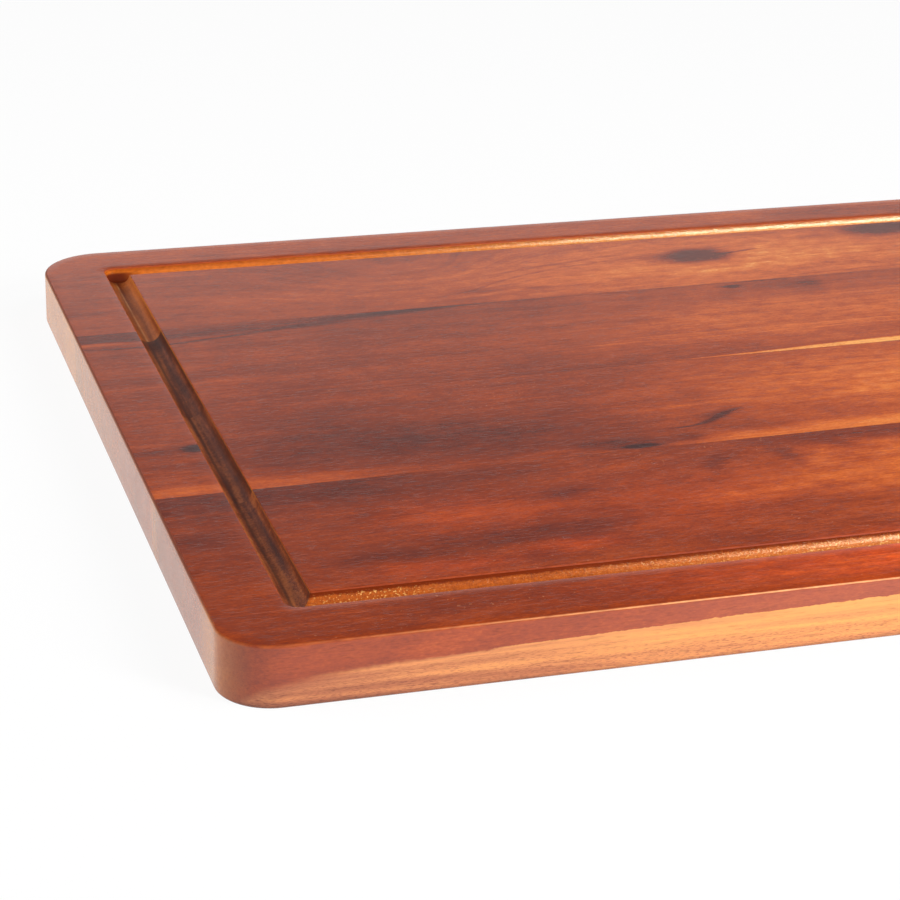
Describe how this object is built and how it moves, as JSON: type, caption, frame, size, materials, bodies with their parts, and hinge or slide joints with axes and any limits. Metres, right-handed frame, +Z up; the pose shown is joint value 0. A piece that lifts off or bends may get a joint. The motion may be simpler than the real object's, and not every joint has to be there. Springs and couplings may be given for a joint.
{
  "type": "steak board",
  "caption": "Rectangular wooden steak board with rounded corners and a half-round juice groove round its top, edge-glued from full-length staves.",
  "frame": {"origin": "middle of the underside, on the surface that the board stands on", "axes": "+X along the board's length, +Y to its back long edge, +Z up"},
  "size_m": [0.53, 0.325, 0.018],
  "materials": {
    "front_wood": "reddish-brown hardwood with long straight grain under a thin satin lacquer",
    "front_middle_wood": "reddish-brown hardwood with long straight grain under a thin satin lacquer",
    "back_middle_wood": "reddish-brown hardwood with long straight grain under a thin satin lacquer",
    "back_wood": "reddish-brown hardwood with long straight grain under a thin satin lacquer"
  },
  "bodies": {
    "root": {"front_stave": "front_wood", "front_middle_stave": "front_middle_wood", "back_middle_stave": "back_middle_wood", "back_stave": "back_wood"}
  },
  "joints": []
}
